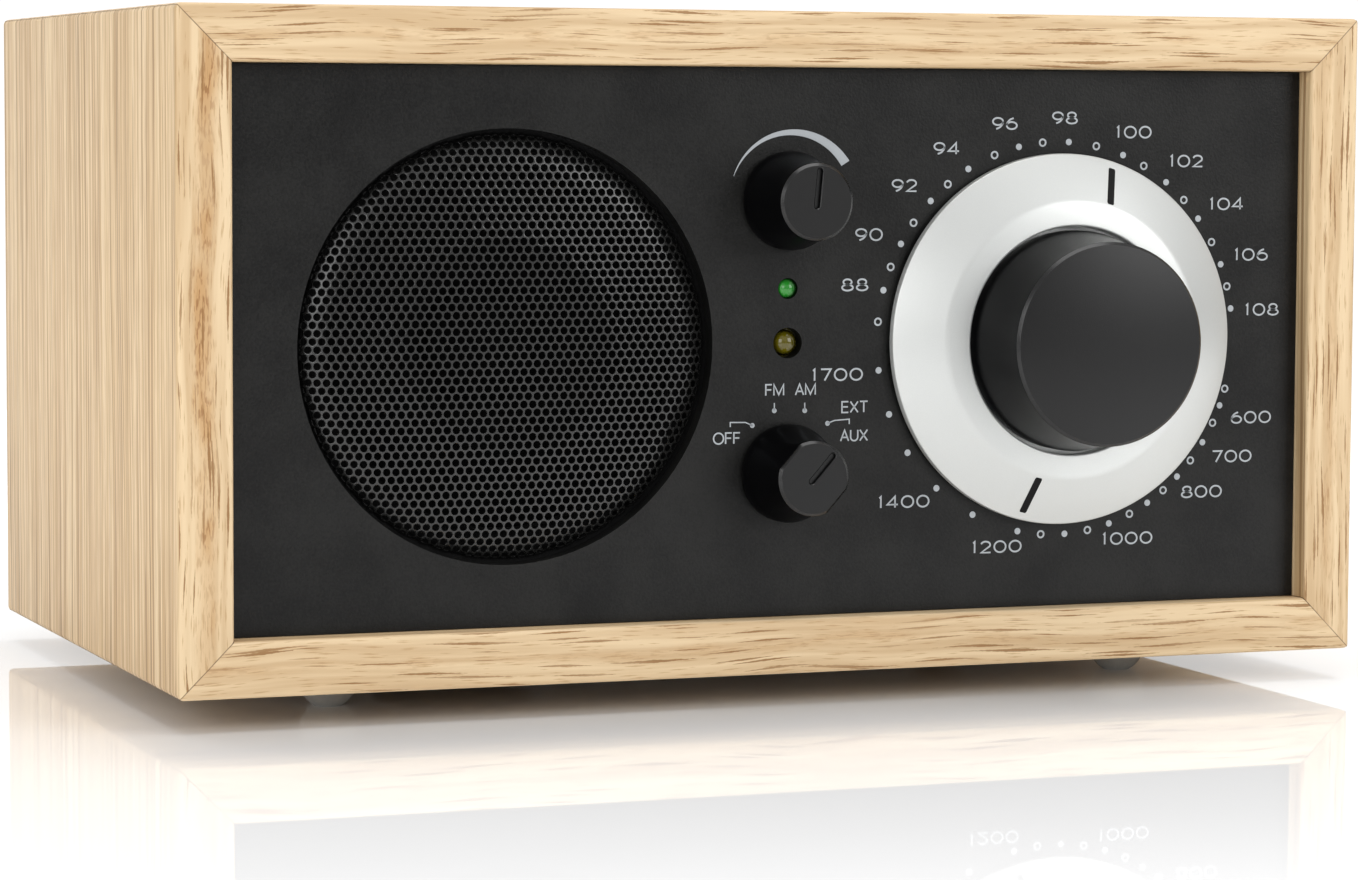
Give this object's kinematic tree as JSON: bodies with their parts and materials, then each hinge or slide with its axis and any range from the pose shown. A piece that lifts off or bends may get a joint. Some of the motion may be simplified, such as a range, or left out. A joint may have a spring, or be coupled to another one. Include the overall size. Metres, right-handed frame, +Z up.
{
  "type": "table radio",
  "caption": "Small wooden table radio with a round speaker grille, a geared tuning dial, volume and selector knobs and two signal lamps.",
  "frame": {"origin": "on the surface the feet stand on, under the middle of the box that holds the whole radio", "axes": "+X to the right of someone facing the radio, +Y from front to back, +Z up"},
  "size_m": [0.213, 0.1568, 0.1169],
  "materials": {
    "oak": "oiled veneer with straight grain",
    "panel_paint": "matt charcoal paint",
    "rear_board": "matt black",
    "black_metal": "satin black",
    "dial_silver": "satin silver",
    "knob_grey": "fine satin charcoal",
    "clear_rubber": "clear soft bumper",
    "black_plastic": "moulded black",
    "steel": "plated steel",
    "brass": "turned brass",
    "ferrite": "sintered ferrite",
    "paper": "pressed paper pulp",
    "soft_rubber": "soft roll",
    "spider_cloth": "resin-dipped cloth",
    "copper": "enamelled copper winding",
    "white_plastic": "acetal",
    "green_lens": "tinted lamp",
    "amber_lens": "tinted lamp",
    "circuit_green": "solder mask",
    "aluminium": "mill finish",
    "pine": "plain batten"
  },
  "bodies": {
    "cabinet": {"cabinet_top": "oak", "cabinet_right": "oak", "cabinet_bottom": "oak", "cabinet_left": "oak", "front_battens": "pine", "rear_blocks": "pine", "front_panel": "panel_paint", "front_panel_screws": "steel", "rear_panel": "rear_board", "rear_panel_screws": "black_metal", "feet": "clear_rubber", "bass_port_tube": "black_plastic", "speaker_grille": "black_metal", "speaker_basket": "steel", "speaker_top_plate": "steel", "speaker_magnet": "ferrite", "speaker_yoke": "steel", "speaker_surround": "soft_rubber", "speaker_spider": "spider_cloth", "speaker_screws": "steel", "ring_gear_housing": "white_plastic", "capacitor_frame": "aluminium", "capacitor_stator": "aluminium", "volume_control": "black_plastic", "selector_switch": "black_plastic", "control_nuts": "steel", "green_lamp": "green_lens", "amber_lamp": "amber_lens", "signal_jacks": "black_plastic", "dc_jack": "black_plastic", "mains_inlet": "black_plastic", "antenna_connector": "steel", "antenna_switch_body": "black_plastic", "main_board": "circuit_green", "board_standoffs": "brass", "transformer_core": "steel", "transformer_coil": "copper", "filter_capacitors": "black_plastic", "heat_sink": "aluminium", "amplifier_chip": "black_plastic", "wireless_module": "circuit_green", "ferrite_rod": "ferrite", "ferrite_coil": "copper", "rod_clips": "white_plastic"},
    "dial": {"tuning_dial": "dial_silver", "planet_carrier": "brass", "capacitor_rotor": "aluminium"},
    "tuning": {"tuning_knob": "knob_grey", "pinion_shaft": "brass"},
    "planet_a": {"planet_gear_a": "white_plastic"},
    "planet_b": {"planet_gear_b": "white_plastic"},
    "planet_c": {"planet_gear_c": "white_plastic"},
    "volume": {"volume_knob": "knob_grey", "volume_shaft": "steel"},
    "selector": {"selector_knob": "knob_grey", "selector_shaft": "steel"},
    "cone": {"speaker_cone": "paper", "speaker_dust_cap": "paper", "voice_coil": "copper"},
    "aerial_slider": {"antenna_switch_slider": "white_plastic"}
  },
  "joints": [
    {"name": "dial_turn", "type": "hinge", "parent": "cabinet", "child": "dial", "pos_m": [0.0504, -0.04785, 0.0612], "axis": [0, -1, 0], "range_deg": [-68, 104]},
    {"name": "tuning_turn", "type": "hinge", "parent": "cabinet", "child": "tuning", "pos_m": [0.0504, -0.04785, 0.0612], "axis": [0, -1, 0], "range_deg": [-341, 521]},
    {"name": "volume_turn", "type": "hinge", "parent": "cabinet", "child": "volume", "pos_m": [0, -0.05655, 0.0852], "axis": [0, -1, 0], "range_deg": [-144, 155]},
    {"name": "selector_turn", "type": "hinge", "parent": "cabinet", "child": "selector", "pos_m": [0, -0.05655, 0.0392], "axis": [0, -1, 0], "range_deg": [0, 81]},
    {"name": "cone_travel", "type": "slide", "parent": "cabinet", "child": "cone", "axis": [0, -1, 0], "range_m": [-0.0015, 0.0015], "stiffness_N_per_m": 1500, "deforming": ["speaker_surround", "speaker_spider"]},
    {"name": "aerial_switch", "type": "slide", "parent": "cabinet", "child": "aerial_slider", "axis": [1, 0, 0], "range_m": [0, 0.003]},
    {"name": "planet_a_spin", "type": "hinge", "parent": "dial", "child": "planet_a", "pos_m": [0.0504, -0.04785, 0.07245], "axis": [0, -1, 0], "range_deg": [-278, 182]},
    {"name": "planet_b_spin", "type": "hinge", "parent": "dial", "child": "planet_b", "pos_m": [0.04066, -0.04785, 0.05557], "axis": [0, -1, 0], "range_deg": [-278, 182]},
    {"name": "planet_c_spin", "type": "hinge", "parent": "dial", "child": "planet_c", "pos_m": [0.06014, -0.04785, 0.05557], "axis": [0, -1, 0], "range_deg": [-278, 182]}
  ],
  "couplings": [
    {"joint": "tuning_turn", "follows": "dial_turn", "ratio": 5},
    {"joint": "planet_a_spin", "follows": "dial_turn", "ratio": -2.6667},
    {"joint": "planet_b_spin", "follows": "dial_turn", "ratio": -2.6667},
    {"joint": "planet_c_spin", "follows": "dial_turn", "ratio": -2.6667}
  ]
}
